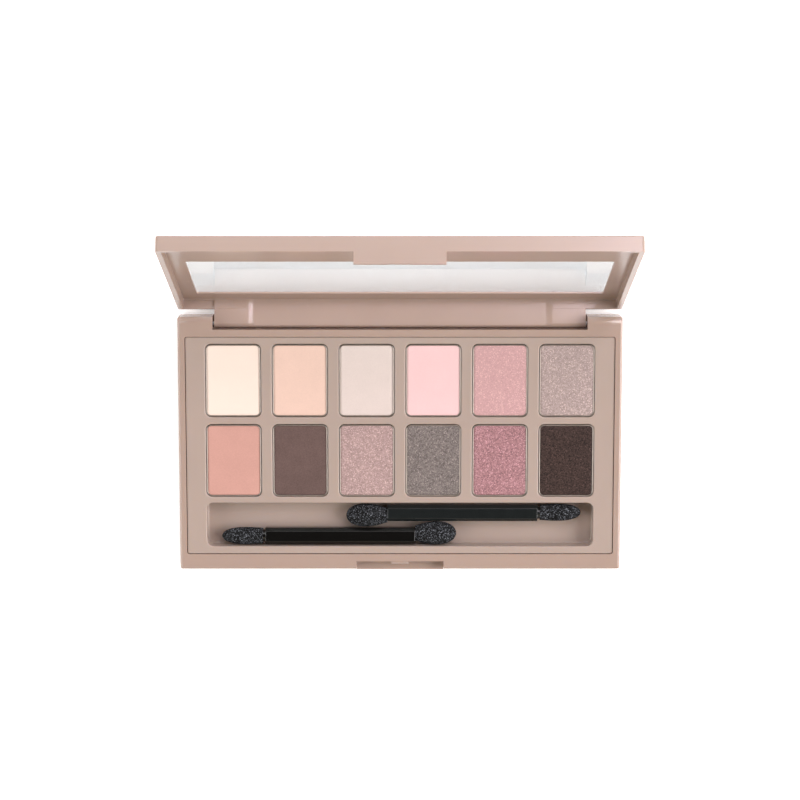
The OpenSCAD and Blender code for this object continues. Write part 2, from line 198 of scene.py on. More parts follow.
def carve(body, *cutters, operation="DIFFERENCE"):
    """Cuts the cutters out of a body one by one and throws them away."""
    for cutter in cutters:
        face_out(cutter)
        face_out(body)
        cut = body.modifiers.new("cut", "BOOLEAN")
        cut.operation = operation
        cut.solver = "EXACT"
        cut.object = cutter
        settle(body)
        bpy.data.objects.remove(cutter)


def weld(body, *additions):
    """Joins the additions to a body in the same way."""
    carve(body, *additions, operation="UNION")


def face_out(made):
    """Turns every face of a closed piece outwards."""
    work = bmesh.new()
    work.from_mesh(made.data)
    bmesh.ops.recalc_face_normals(work, faces=work.faces)
    work.to_mesh(made.data)
    work.free()


def soften(made, width=0):
    """Rounds the sharp edges by width, then shades the piece as a smooth moulding."""
    rounded_from = math.radians(35)
    sharp_from = math.radians(50)
    face_out(made)
    if width:
        round_over = made.modifiers.new("round_over", "BEVEL")
        round_over.width = width
        round_over.segments = 3
        round_over.limit_method = "ANGLE"
        round_over.angle_limit = rounded_from
        round_over.miter_outer = "MITER_ARC"
        round_over.use_clamp_overlap = True
        settle(made)
    made.data.shade_smooth()
    made.data.set_sharp_from_angle(angle=sharp_from)
    flats = made.modifiers.new("flats", "WEIGHTED_NORMAL")
    flats.keep_sharp = True
    settle(made)


class Field:
    """A socket of a finish, used in sums as a number is."""

    def __init__(self, finish, socket):
        self.finish = finish
        self.socket = socket

    def sum(self, operation, first, second):
        """Adds the Math node that an expression stands for."""
        return self.finish.node("Math", {"operation": operation}, {0: first, 1: second})

    def __add__(self, other):
        return self.sum("ADD", self, other)

    def __radd__(self, other):
        return self.sum("ADD", other, self)

    def __sub__(self, other):
        return self.sum("SUBTRACT", self, other)

    def __rsub__(self, other):
        return self.sum("SUBTRACT", other, self)

    def __mul__(self, other):
        return self.sum("MULTIPLY", self, other)

    def __rmul__(self, other):
        return self.sum("MULTIPLY", other, self)

    def __pow__(self, other):
        return self.sum("POWER", self, other)

    def __rpow__(self, other):
        return self.sum("POWER", other, self)

    def __gt__(self, other):
        return self.sum("GREATER_THAN", self, other)

    def __lt__(self, other):
        return self.sum("LESS_THAN", self, other)


class Finish:
    """The nodes of one kind of plastic, metal, foam or powder, or of the room around."""

    def __init__(self, name, room=False):
        library = bpy.data.worlds if room else bpy.data.materials
        self.owner = library.new(name)
        self.owner.use_nodes = True
        self.tree = self.owner.node_tree
        self.tree.nodes.clear()
        self.place = self.node("TexCoord", out="Generated" if room else "Object")

    def node(self, kind, settings=None, sockets=None, out=0):
        """Adds a node: its settings first, then its sockets' values or links."""
        made = self.tree.nodes.new("ShaderNode" + kind)
        for key, value in (settings or {}).items():
            if key == "stops":
                self.set_stops(made.color_ramp, value)
            else:
                setattr(made, key, value)
        for key, value in (sockets or {}).items():
            if isinstance(value, Field):
                self.tree.links.new(value.socket, made.inputs[key])
            else:
                made.inputs[key].default_value = value
        return Field(self, made.outputs[out]) if len(made.outputs) else None

    def set_stops(self, ramp, stops):
        """Sets a ramp's stops from pairs of a position and a colour."""
        for index, (position, colour) in enumerate(stops):
            stop = ramp.elements[index] if index < 2 else ramp.elements.new(position)
            stop.position = position
            stop.color = colour

    def mix(self, first, second, factor):
        """Blends two colours by a factor."""
        return self.node("Mix", {"data_type": "RGBA"}, {0: factor, 6: first, 7: second}, out=2)

    def grain(self, scale, detail=2, roughness=0.5, stretch=None, offset=(0, 0, 0)):
        """Noise with scale cells to the metre, from 0 to 1."""
        where = self.place
        if stretch or any(offset):
            where = self.node("Mapping", None, {"Vector": where, "Location": offset,
                                                "Scale": stretch or (1, 1, 1)})
        return self.node("TexNoise", None, {"Vector": where, "Scale": scale, "Detail": detail,
                                            "Roughness": roughness})

    def relief(self, height, distance, strength=1):
        """A normal bent by a height field that stands distance metres tall."""
        return self.node("Bump", None, {"Height": height, "Distance": distance,
                                        "Strength": strength})

    def finish(self, **sockets):
        """Ends the material in a Principled shader with these sockets."""
        named = {key.replace("_", " "): value for key, value in sockets.items()}
        shader = self.node("BsdfPrincipled", None, named)
        self.node("OutputMaterial", None, {"Surface": shader})
        return self.owner


def paint(code, gain=1):
    """A linear colour from its six-figure code, darkened or lightened by gain."""
    channels = [int(code[i:i + 2], 16) / 255 for i in (0, 2, 4)]
    linear = [(c / 12.92 if c <= 0.04045 else ((c + 0.055) / 1.055) ** 2.4) for c in channels]
    return tuple(min(1, c * gain) for c in linear) + (1,)


def coat(made, material, body, slot_name, *nodes):
    """Gives a piece its material and its body, and hides the solids it stands for. Its slot_name is
    not used.
    """
    made.data.materials.clear()
    made.data.materials.append(material)
    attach(made, body)
    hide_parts(*nodes)


def moulded(name, code, gain, roughness):
    """Satin injection-moulded plastic: slight flow mottle, faint haze and fine scuffs."""
    spread = 0.045
    haze_depth = 0.10
    scuff_depth = 0.07
    made = Finish(name)
    mottle = made.grain(scale=60, detail=3)
    haze = made.grain(scale=900, detail=4, roughness=0.6)
    scuff = made.grain(scale=700, detail=2, roughness=0.7, stretch=(0.08, 1, 1))
    colour = made.mix(paint(code, gain * (1 - spread)), paint(code, gain * (1 + spread)), mottle)
    shine = roughness + haze_depth * (haze - 0.5) + scuff_depth * (scuff - 0.5)
    normal = made.relief(haze * 0.7 + scuff * 0.3, 0.006 * mm, 0.6)
    return made.finish(Base_Color=colour, Roughness=shine, Normal=normal, Coat_Weight=0.15,
                       Coat_Roughness=0.12, Subsurface_Weight=0.2, Subsurface_Scale=0.9 * mm,
                       Subsurface_Radius=(1.0, 0.5, 0.22))


case_plastic = moulded("rose_beige_plastic", "c0a799", gain=0.70, roughness=0.24)

case = slab("case", (case_width / 2, (case_rear - case_front) / 2), case_corner, shell_low.z, rim,
            foot=case_edge, top=case_edge)
tray_front = tray_low.y + bead_radius
tray_rear = tray_high.y - bead_radius
tray_middle = (tray_front + tray_rear) / 2
tray_half = (tray_high.x, (tray_rear - tray_front) / 2)
pocket = hollow("pocket", (tray_half[0] + seam, tray_half[1] + seam), tray_corner + seam, floor_top,
                rim, (0, tray_middle), foot=pocket_foot)
cutters = [pocket]
far_rear = case_rear + slop
cutters.append(bar("notch", [(notch_front, ledge_front_z), (far_rear, ledge_rear_z),
                             (far_rear, rim + slop), (notch_front, rim + slop)],
                   -notch_half, notch_half))
for side in (-1, 1):
    ends = sorted((side * ledge_half, side * notch_half))
    cutters.append(bar("notch_end", [(notch_front, web_thickness), (far_rear, web_thickness),
                                     (far_rear, rim), (notch_front, rim)], *ends))
ear_radius = rim - axis_z
ear_outline = [(axis_y + ear_radius + slop, axis_z), (axis_y + ear_radius + slop, rim + slop),
               (axis_y, rim + slop)]
cutters.append(bar("ear_round", arc((axis_y, axis_z), ear_radius, 90, 0) + ear_outline,
                   -case_width, case_width))
cutters.append(bar("recess", [(case_front - slop, recess_floor), (recess_back, recess_floor),
                              (recess_back, rim + slop), (case_front - slop, rim + slop)],
                   -recess_half, recess_half))
label_half = ((label_high.x - label_low.x) / 2 + seam, (label_high.y - label_low.y) / 2 + seam)
label_recess = label_high.z
cutters.append(slab("label_recess", label_half, case_corner, -slop, label_recess,
                    (0, (label_low.y + label_high.y) / 2)))
for side in (-1, 1):
    ends = sorted((side * (notch_half - slop), side * (case_width / 2 + slop)))
    cutters.append(rod("pin_bore", pin_radius, *ends, axis_y, axis_z))
for side in (-1, 1):
    for wall in (tray_front, tray_rear):
        cutters.append(rod("bead_groove", bead_radius + seam,
                           side * bead_x - bead_length / 2 - seam,
                           side * bead_x + bead_length / 2 + seam, wall, bead_z, bead_sides))
carve(case, *cutters)
nub = rod("nub", nub_radius, -nub_half, nub_half, recess_back, rim - nub_drop)
lip = bar("lip", [(case_front + slop, recess_floor), (case_front - lip_length, recess_floor),
                  (case_front - lip_length, recess_floor - lip_thickness),
                  (case_front, recess_floor - lip_thickness - lip_length),
                  (case_front + slop, recess_floor - lip_thickness - lip_length)],
          -lip_half, lip_half)
weld(case, nub, lip)
soften(case, case_softness)
coat(case, case_plastic, "base", "case", "base_shell")

# ---------------------------------------------------------------- Tray
# The insert that holds the colours: a thin moulding in the same plastic, with twelve rounded
# wells, a long trough for the applicators and snap beads along its two long sides.
shades = ["cream", "peach", "ivory", "petal_pink", "rose", "taupe",
          "coral", "cocoa", "mauve", "slate", "berry", "espresso"]
deck = tray_high.z
pan_gap = 0.15 * mm
well_corner = 1.75 * mm
well_floor = 4.3 * mm
well_foot = 0.2 * mm
well_mouth = 0.42 * mm
well_skin = 1 * mm
tray_edge = 0.15 * mm
trough_half = (59.15 * mm, 6.775 * mm)
trough_border = 2.26 * mm
trough_middle = tray_front + trough_border + trough_half[1]
trough_floor = 3.1 * mm
trough_corner = 2.0 * mm
trough_foot = 0.4 * mm
trough_mouth = 0.3 * mm
under_depth = 0.9 * mm
tray_plastic = moulded("rose_beige_insert", "bfab9f", gain=0.71, roughness=0.42)


def plan_of(low, high, gap=0):
    """The middle and the half sizes of a box seen from above, grown by gap."""
    middle = ((low.x + high.x) / 2, (low.y + high.y) / 2)
    half = ((high.x - low.x) / 2 + gap, (high.y - low.y) / 2 + gap)
    return middle, half


tray = slab("tray", tray_half, tray_corner, tray_low.z, deck, (0, tray_middle), top=tray_edge)
for shade in shades:
    low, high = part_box("pan_" + shade)
    middle, half = plan_of(low, high, pan_gap)
    carve(tray, hollow("well", half, well_corner, well_floor, deck, middle, foot=well_foot,
                       mouth=well_mouth))
    carve(tray, slab("under_well", half, well_corner, tray_low.z - slop, well_floor - well_skin,
                     middle))
carve(tray, hollow("trough", trough_half, trough_corner, trough_floor, deck, (0, trough_middle),
                   foot=trough_foot, mouth=trough_mouth),
      slab("under_trough", trough_half, trough_corner, tray_low.z - slop,
           tray_low.z + under_depth, (0, trough_middle)))
for side in (-1, 1):
    for wall in (tray_front, tray_rear):
        weld(tray, rod("bead", bead_radius, side * bead_x - bead_length / 2,
                       side * bead_x + bead_length / 2, wall, bead_z, bead_sides))
soften(tray)
coat(tray, tray_plastic, "base", "tray", "pan_tray")

# ---------------------------------------------------------------- Pans
# Twelve drawn tin cups, each glued into its well: thin sheet with a rounded foot and a fine
# bright rim that shows as a line round the powder.
pan_wall = 0.35 * mm
pan_corner = 1.6 * mm
pan_fold = 0.45 * mm
lip_steps = 6
tin = Finish("drawn_tin")
brushed = tin.grain(scale=2500, detail=3, roughness=0.6, stretch=(1, 0.2, 1))
tin_metal = tin.finish(Base_Color=tin.mix(paint("8a8078"), paint("b3a9a0"), brushed),
                       Roughness=0.30 + 0.16 * brushed, Metallic=1.0,
                       Normal=tin.relief(brushed, 0.004 * mm))


def cup_rings(half, low, high):
    """Rings up the outside of a thin cup, over its round lip and down to its inside floor."""
    rings = foot_rings(half, pan_corner, low, pan_fold)
    for step in range(lip_steps + 1):
        turn = math.radians(180) * step / lip_steps
        inset = pan_wall / 2 * (1 - math.cos(turn))
        rings.append(plan_ring(half[0] - inset, half[1] - inset, pan_corner - inset,
                               high - pan_wall / 2 * (1 - math.sin(turn))))
    rings.append(plan_ring(half[0] - pan_wall, half[1] - pan_wall, pan_corner - pan_wall,
                           low + pan_wall))
    return rings


for shade in shades:
    low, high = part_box("pan_" + shade)
    middle, half = plan_of(low, high)
    pan = loft("tin_" + shade, cup_rings(half, low.z, high.z), middle)
    soften(pan)
    coat(pan, tin_metal, "base", "tin", "pan_" + shade)

# ---------------------------------------------------------------- Powders
# Twelve cakes of pressed powder. The first four, the coral and the cocoa are matte and smooth;
# the others hold pearl flakes, which lie in blotches, and a few flakes carry a painted glint.
powder_cell = 0.2 * mm
powder_corner = 1.25 * mm
powder_edge = 0.45 * mm
powder_fall = 0.14 * mm
powder_sink = 0.05 * mm
matte_relief = 0.008 * mm
pearl_relief = 0.02 * mm
matte_gain = 0.76
matte_reach = 3
pearl_gain = 0.765
pearl_reach = 1.9
pearl_darkest = 0.05
painted_glint_from = 0.9
painted_glint_share = 0.35
dent_scale = 1.3
grit_scale = 3.1
grit_share = 0.7
matte_shades = {"cream": ("feeadb", 0.02), "peach": ("f1cfbe", 0.05), "ivory": ("e7d7cf", 0.05),
                "petal_pink": ("f9d1d0", 0.04), "coral": ("d5a295", 0.08),
                "cocoa": ("6d5853", 0.24)}
pearl_shades = {"rose": ("dbaead", 0.08), "taupe": ("baa6a1", 0.2), "mauve": ("bea19d", 0.23),
                "slate": ("867c78", 0.36), "berry": ("b38589", 0.34), "espresso": ("2d221f", 1.6)}


def matte_powder(name, code, spread, seed):
    """Smooth pressed talc: very fine grain and a trace of uneven pressing."""
    made = Finish(name)
    dust = made.grain(scale=3600, detail=3, roughness=0.8, offset=(seed, 0, 0))
    press = made.grain(scale=220, detail=3, roughness=0.5, offset=(0, seed, 0))
    tone = 0.75 * dust + 0.25 * press
    dark = paint(code, matte_gain * (1 - matte_reach * spread))
    light = paint(code, matte_gain * (1 + matte_reach * spread))
    colour = made.mix(dark, light, tone)
    return made.finish(Base_Color=colour, Roughness=0.82 + 0.12 * dust, Specular_IOR_Level=0.2,
                       Normal=made.relief(dust * 0.6 + press * 0.4, 0.02 * mm, 0.5))


def pearl_powder(name, code, spread, seed):
    """Pearl powder: flakes of two sizes, each with its own brightness and tilt, and a painted
    glint, a brighter colour, on a tenth of them.
    """
    made = Finish(name)
    where = made.node("Mapping", None, {"Vector": made.place, "Location": (seed, seed, 0)})
    flake = made.node("TexVoronoi", None, {"Vector": where, "Scale": 3900.0}, out="Color")
    clump = made.node("TexVoronoi", None, {"Vector": where, "Scale": 2100.0}, out="Color")
    flake_tone = made.node("SeparateColor", None, {"Color": flake}, out="Red")
    glint_tone = made.node("SeparateColor", None, {"Color": flake}, out="Green")
    clump_tone = made.node("SeparateColor", None, {"Color": clump}, out="Blue")
    cloud = made.grain(scale=420, detail=3, roughness=0.6, offset=(seed, 0, 0))
    tone = 0.5 * flake_tone + 0.22 * clump_tone + 0.28 * cloud
    # Painted glint: a tenth of the flakes get a much brighter copy of the colour painted in.
    painted_glint = painted_glint_share * (glint_tone > painted_glint_from)
    painted_glint_colour = paint(code, 1.3 + 3.5 * spread)
    dark = paint(code, pearl_gain * max(pearl_darkest, 1 - pearl_reach * spread))
    light = paint(code, pearl_gain * (1 + pearl_reach * spread))
    colour = made.mix(dark, light, tone)
    colour = made.mix(colour, painted_glint_colour, painted_glint)
    normal = made.relief(flake_tone * 0.6 + clump_tone * 0.4, 0.05 * mm, 0.5)
    return made.finish(Base_Color=colour, Roughness=0.58 - 0.22 * flake_tone,
                       Metallic=0.08 + 0.2 * glint_tone, Normal=normal,
                       Specular_IOR_Level=0.25)


def powder_cake(name, half, low, high, middle, relief, seed):
    """A cake whose top is a fine grid with pressed relief, on straight sides."""
    corner = powder_corner
    across = round(2 * half[0] / powder_cell)
    along = round(2 * half[1] / powder_cell)
    vertices = []
    for row in range(along + 1):
        for column in range(across + 1):
            x = half[0] * (2 * column / across - 1)
            y = half[1] * (2 * row / along - 1)
            over_x = (abs(x) - half[0] + corner) / corner
            over_y = (abs(y) - half[1] + corner) / corner
            if over_x > 0 and over_y > 0:
                x = math.copysign(half[0] - corner + corner * over_x
                                  * math.sqrt(1 - over_y ** 2 / 2), x)
                y = math.copysign(half[1] - corner + corner * over_y
                                  * math.sqrt(1 - over_x ** 2 / 2), y)
            rim_gap = min(half[0] - abs(x), half[1] - abs(y))
            edge = max(0, 1 - rim_gap / powder_edge)
            spot = Vector((x, y, seed * mm)) / mm
            rough = noise.noise(spot * dent_scale) + grit_share * noise.noise(spot * grit_scale)
            z = high - powder_sink + relief * rough - powder_fall * edge ** 2
            vertices.append(Vector((x + middle[0], y + middle[1], min(z, high))))
    stride = across + 1
    faces = []
    for row in range(along):
        for column in range(across):
            a = row * stride + column
            faces.append((a, a + 1, a + 1 + stride, a + stride))
    border = list(range(across))
    border += [row * stride + across for row in range(along)]
    border += [along * stride + column for column in range(across, 0, -1)]
    border += [row * stride for row in range(along, 0, -1)]
    first = len(vertices)
    for index in border:
        vertices.append(Vector((vertices[index].x, vertices[index].y, low)))
    count = len(border)
    for i in range(count):
        j = (i + 1) % count
        faces.append((border[j], border[i], first + i, first + j))
    faces.append(tuple(first + i for i in reversed(range(count))))
    return piece(name, vertices, faces)


for seed, shade in enumerate(shades, 1):
    low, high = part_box("powder_" + shade)
    middle, half = plan_of(low, high)
    pearl = shade in pearl_shades
    relief = pearl_relief if pearl else matte_relief
    cake = powder_cake("cake_" + shade, half, low.z, high.z, middle, relief, seed)
    soften(cake)
    if pearl:
        powder = pearl_powder("pearl_" + shade, *pearl_shades[shade], seed)
    else:
        powder = matte_powder("matte_" + shade, *matte_shades[shade], seed)
    coat(cake, powder, "base", "powder_" + shade, "powder_" + shade)

# ---------------------------------------------------------------- Glue and label
# Dots of set hot-melt glue hold the pans in their wells, and a blank paper label is stuck in
# the recess of the underside. Both stay the plain solids they are and only take a finish.
glue = Finish("set_glue")
glue_cloud = glue.grain(scale=500)
glue_stuff = glue.finish(Base_Color=glue.mix(paint("d9d0b8"), paint("efe9d8"), glue_cloud),
                         Roughness=0.35 + 0.1 * glue_cloud,
                         Normal=glue.relief(glue_cloud, 0.02 * mm))
paper = Finish("label_paper")
fibre = paper.grain(scale=2600, detail=4, roughness=0.7, stretch=(1, 0.4, 1))
paper_stuff = paper.finish(Base_Color=paper.mix(paint("e2dbd0"), paint("f3eee7"), fibre),
                           Roughness=0.75 + 0.1 * fibre, Normal=paper.relief(fibre, 0.01 * mm))


def dress(node_name, material):
    """Gives a solid that is kept as it stands its finish."""
    for kept_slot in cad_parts[node_name].material_slots:
        kept_slot.material = material


dress("pan_glue", glue_stuff)
dress("underside_label", paper_stuff)

# ---------------------------------------------------------------- Hinge pins
# Two straight pins of drawn steel wire, pressed into the case's ears from the sides. The
# lid's end knuckles turn on them.
steel = Finish("drawn_steel")
drawn = steel.grain(scale=3000, detail=3, roughness=0.6, stretch=(0.1, 1, 1))
steel_metal = steel.finish(Base_Color=steel.mix(paint("9c9ca0"), paint("c9c9cc"), drawn),
                           Roughness=0.22 + 0.15 * drawn, Metallic=1.0,
                           Normal=steel.relief(drawn, 0.003 * mm))
dress("hinge_pin_left", steel_metal)
dress("hinge_pin_right", steel_metal)

# ---------------------------------------------------------------- Lid
# The cover: a shallow frame in the case's plastic, moulded in one with its side walls, the
# latch tab and the leaf whose end knuckles turn on the pins. Built closed, then swung open.
open_angle = math.radians(109)
lid_gap = 0.1 * mm
lid_depth = 3.0 * mm
lid_height = 4.5 * mm
lid_rim = rim + lid_gap
lid_face = lid_rim + lid_depth
lid_top = lid_rim + lid_height
lid_wall = 1.55 * mm
lid_half = (case_width / 2, (axis_y - case_front) / 2)
lid_middle = (axis_y + case_front) / 2
lid_edge = 0.4 * mm
lid_softness = 0.15 * mm
inside_corner = 0.3 * mm
inside_edge = 0.12 * mm
front_band = 25.1 * mm
rear_band = 9 * mm
window_front = case_front + front_band
window_rear = axis_y - rear_band
window_half = (61.2 * mm, (window_rear - window_front) / 2)
window_middle = (window_front + window_rear) / 2
window_corner = 0.5 * mm
window_thickness = 1.0 * mm
window_lap = 1.2 * mm
knuckle_radius = 1.3 * mm
leaf_half = 56.45 * mm
leaf_root = 0.1 * mm
leaf_lean = 0.1 * mm
relief_half = 46.6 * mm
relief_ramp = 2.4 * mm
relief_depth = 0.25 * mm
ramp_steps = 10
bore_play = 0.05 * mm
tab_half = 12.8 * mm
tab_foot = 5.45 * mm
tab_thickness = 1.6 * mm
groove_half = 3.2 * mm
groove_width = 1.2 * mm
groove_front = recess_back - groove_width
step_tall = 0.4 * mm
wall_recess = 0.4 * mm

lid = slab("lid", lid_half, case_corner, lid_rim, lid_top, (0, lid_middle), top=lid_edge)
carve(lid, slab("inside", (lid_half[0] - lid_wall, lid_half[1] - lid_wall), inside_corner,
                lid_rim - slop, lid_face, (0, lid_middle), top=inside_edge))
wall_inside = axis_y - lid_wall
for side in (-1, 1):
    ends = sorted((side * leaf_half, side * (lid_half[0] - lid_wall)))
    carve(lid, bar("wall_recess", [(wall_inside - slop, lid_rim - slop),
                                   (wall_inside + wall_recess, lid_rim - slop),
                                   (wall_inside + wall_recess, lid_face - step_tall),
                                   (wall_inside - slop, lid_face - step_tall)], *ends))
barrel = arc((axis_y, axis_z), knuckle_radius, 180, 360)
weld(lid, bar("leaf", [(axis_y, lid_face + leaf_root), (wall_inside, lid_face + leaf_root),
                       (wall_inside, lid_face),
                       (axis_y - knuckle_radius - leaf_lean, rim)] + barrel
              + [(axis_y, lid_rim)], -leaf_half, leaf_half))
weld(lid, bar("tab", [(case_front, tab_foot), (case_front + tab_thickness, tab_foot),
                      (case_front + tab_thickness, lid_face), (case_front, lid_face)],
              -tab_half, tab_half))
carve(lid, bar("groove", [(groove_front, tab_foot - slop), (recess_back + slop, tab_foot - slop),
                          (recess_back + slop, lid_rim), (groove_front, lid_rim)],
               -groove_half, groove_half))
relief_levels = [(axis_z - knuckle_radius - slop, axis_y - knuckle_radius),
                 (axis_z, axis_y - knuckle_radius), (rim, axis_y - knuckle_radius - leaf_lean),
                 (lid_face, wall_inside)]
relief_rings = []
for z, front in relief_levels:
    ring = [Vector((-relief_half, front - slop, z)), Vector((relief_half, front - slop, z))]
    for side in (1, -1):
        for step in range(ramp_steps + 1):
            share = step / ramp_steps if side > 0 else 1 - step / ramp_steps
            sink = relief_depth * (1 - math.cos(math.pi * share)) / 2
            ring.append(Vector((side * (relief_half - relief_ramp * share), front + sink, z)))
    relief_rings.append(ring)
carve(lid, loft("relief", relief_rings))
carve(lid, slab("opening", window_half, window_corner, lid_rim, lid_top + slop, (0, window_middle)),
      slab("rebate", (window_half[0] + window_lap, window_half[1] + window_lap),
           window_corner + window_lap, lid_top - window_thickness, lid_top + slop,
           (0, window_middle)))
for side in (-1, 1):
    ends = sorted((side * relief_half, side * (leaf_half + slop)))
    carve(lid, rod("lid_bore", pin_radius + bore_play, *ends, axis_y, axis_z))
soften(lid, lid_softness)
hinge = Vector((0, axis_y, axis_z))
swing = (Matrix.Translation(hinge) @ Matrix.Rotation(-open_angle, 4, "X")
         @ Matrix.Translation(-hinge))
lid.data.transform(swing)
coat(lid, case_plastic, "lid", "case", "lid_frame")

# ---------------------------------------------------------------- Window
# A flat sheet of clear plastic with polished edges, glued into the lid's rebate flush with
# its face. It is thin and clear enough to throw no shadow.
window_play = 0.1 * mm
window_polish = 0.1 * mm
window = slab("window", (window_half[0] + window_lap - window_play,
                         window_half[1] + window_lap - window_play), window_corner + window_lap,
              lid_top - window_thickness, lid_top, (0, window_middle), foot=window_polish,
              top=window_polish)
soften(window)
window.data.transform(swing)
clear = Finish("clear_sheet")
smear = clear.grain(scale=120, detail=3, roughness=0.6)
clear_sheet = clear.finish(Base_Color=clear.mix(paint("d3dadc"), paint("dae1e3"), smear),
                           Roughness=0.01 + 0.02 * smear, Transmission_Weight=1.0, IOR=1.49)
coat(window, clear_sheet, "lid", "window", "lid_window")
window.visible_shadow = False

# ---------------------------------------------------------------- Applicator handles
# Two black bars with bevelled edges, moulded with a thin collar and a flat paddle at each
# end, on which the sponge tips are pushed. The rear one is painted a little lighter and greyer,
# a painted sheen standing in for the light it catches.
handle_bevel = 0.95 * mm
handle_round = 0.12 * mm
handle_ends = [(0, 0.3 * mm), (0.1 * mm, 0.08 * mm), (0.3 * mm, 0)]
collar_length = 0.7 * mm
collar_root = 0.1 * mm
collar_sides = 48
paddle_length = 8 * mm
paddle_root = 0.2 * mm
paddle_half = (1.5 * mm, 0.7 * mm)


def black_plastic(name, dark, light):
    """Glossy moulded plastic with sink ripple and fine lengthwise hairlines."""
    made = Finish(name)
    ripple = made.grain(scale=350)
    hairline = made.grain(scale=1600, roughness=0.7, stretch=(0.06, 1, 1))
    return made.finish(Base_Color=made.mix(paint(dark), paint(light), ripple),
                       Roughness=0.16 + 0.08 * hairline,
                       Normal=made.relief(ripple * 0.6 + hairline * 0.4, 0.008 * mm))


# Same plastic twice: the rear copy's lighter, greyer colours are a painted sheen.
handle_plastic = {"front": black_plastic("glossy_black_plastic", "070605", "0d0c0b"),
                  "rear": black_plastic("painted_sheen_black_plastic", "141717", "1c1f1f")}


def section_ring(x, half_y, half_z, bevel, fillet):
    """A bevelled rectangle across X with its eight edges slightly rounded."""
    corners = [(half_y, half_z - bevel), (half_y - bevel, half_z), (bevel - half_y, half_z),
               (-half_y, half_z - bevel), (-half_y, bevel - half_z), (bevel - half_y, -half_z),
               (half_y - bevel, -half_z), (half_y, bevel - half_z)]
    ring = []
    for index, corner in enumerate(corners):
        here = Vector(corner)
        before = (Vector(corners[index - 1]) - here).normalized() * fillet
        after = (Vector(corners[(index + 1) % 8]) - here).normalized() * fillet
        for share in (0, 0.25, 0.5, 0.75, 1):
            bend = here + before * (1 - share) ** 2 + after * share ** 2
            ring.append(Vector((x, bend.x, bend.y)))
    return ring


def applicator_place(which):
    """Moves a piece drawn from its small tip's end at x = 0 to where it lies in the trough."""
    small_low, small_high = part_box(which + "_applicator_small_tip")
    bar_low, bar_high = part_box(which + "_applicator_handle")
    y = (bar_low.y + bar_high.y) / 2
    z = (bar_low.z + bar_high.z) / 2
    if which == "front":
        return Matrix.Translation((small_low.x, y, z))
    return Matrix.Translation((small_high.x, y, z)) @ Matrix.Rotation(math.pi, 4, "Z")


def applicator_lengths(which):
    """The lengths of the small tip, of the large tip and of the whole applicator."""
    small_low, small_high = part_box(which + "_applicator_small_tip")
    large_low, large_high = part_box(which + "_applicator_large_tip")
    whole = max(large_high.x, small_high.x) - min(large_low.x, small_low.x)
    return small_high.x - small_low.x, large_high.x - large_low.x, whole


applicators = ("front", "rear")
for which in applicators:
    small_length, large_length, whole = applicator_lengths(which)
    bar_low, bar_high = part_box(which + "_applicator_handle")
    half_y = (bar_high.y - bar_low.y) / 2
    half_z = (bar_high.z - bar_low.z) / 2
    bar_start = small_length + collar_length
    bar_end = whole - large_length
    stations = [(bar_start + inward, shrink) for inward, shrink in handle_ends]
    stations += [(bar_end - inward, shrink) for inward, shrink in reversed(handle_ends)]
    rings = [section_ring(x, half_y - shrink, half_z - shrink, handle_bevel, handle_round)
             for x, shrink in stations]
    handle = loft(which + "_handle", rings)
    weld(handle, rod("collar", half_z, small_length, bar_start + collar_root, 0, 0,
                     collar_sides))
    for reach in ((small_length - paddle_length, small_length + paddle_root),
                  (bar_end - paddle_root, bar_end + paddle_length)):
        weld(handle, bar("paddle", [(paddle_half[0], -paddle_half[1]), paddle_half,
                                    (-paddle_half[0], paddle_half[1]),
                                    (-paddle_half[0], -paddle_half[1])], *reach))
    soften(handle)
    handle.data.transform(applicator_place(which))
    coat(handle, handle_plastic[which], which + "_applicator", "black_plastic",
         which + "_applicator_handle")

# ---------------------------------------------------------------- Sponge tips
# Dense charcoal latex foam, cut to a swelling oval and pushed over the handle's paddles. Its
# skin is open: fine dark pores, and a pale fleck where a cell's wall catches the light.
foam_nose = 2.6
foam_rings = 110
foam_sides = 120
foam_point = 0.004
foam_sink = 0.07 * mm
foam_swing = 0.05 * mm
pore_scale = 2.4
fine_scale = 4.6
fine_share = 0.8
seed_step = 20
tip_forms = {"large": (0.65, 0.5), "small": (0.9, 0.4)}
foam = Finish("charcoal_foam")
cell_wall = foam.node("TexVoronoi", {"feature": "DISTANCE_TO_EDGE"},
                      {"Vector": foam.place, "Scale": 4200.0}, out="Distance")
cell_tone = foam.grain(scale=2600, detail=3, roughness=0.7)
cell_shade = foam.node("TexVoronoi", None, {"Vector": foam.place, "Scale": 5200.0}, out="Color")
speckle = foam.node("SeparateColor", None, {"Color": cell_shade}, out="Red") ** 8
foam_dark = foam.mix(paint("060606"), paint("121212"), cell_tone)
foam_colour = foam.mix(foam_dark, paint("82868d"), speckle)
foam_stuff = foam.finish(Base_Color=foam_colour, Roughness=0.88 + 0.1 * cell_tone,
                         Specular_IOR_Level=0.15,
                         Normal=foam.relief(cell_wall * 2.0 + cell_tone * 0.5, 0.1 * mm, 0.7))


def sponge_width(share, neck, swell):
    """Half width of a sponge at a share of its length; it is widest at the share swell."""
    if share < swell:
        return neck + (1 - neck) * math.sin(math.radians(90) * share / swell)
    return math.sqrt(max(0, 1 - ((share - swell) / (1 - swell)) ** foam_nose))


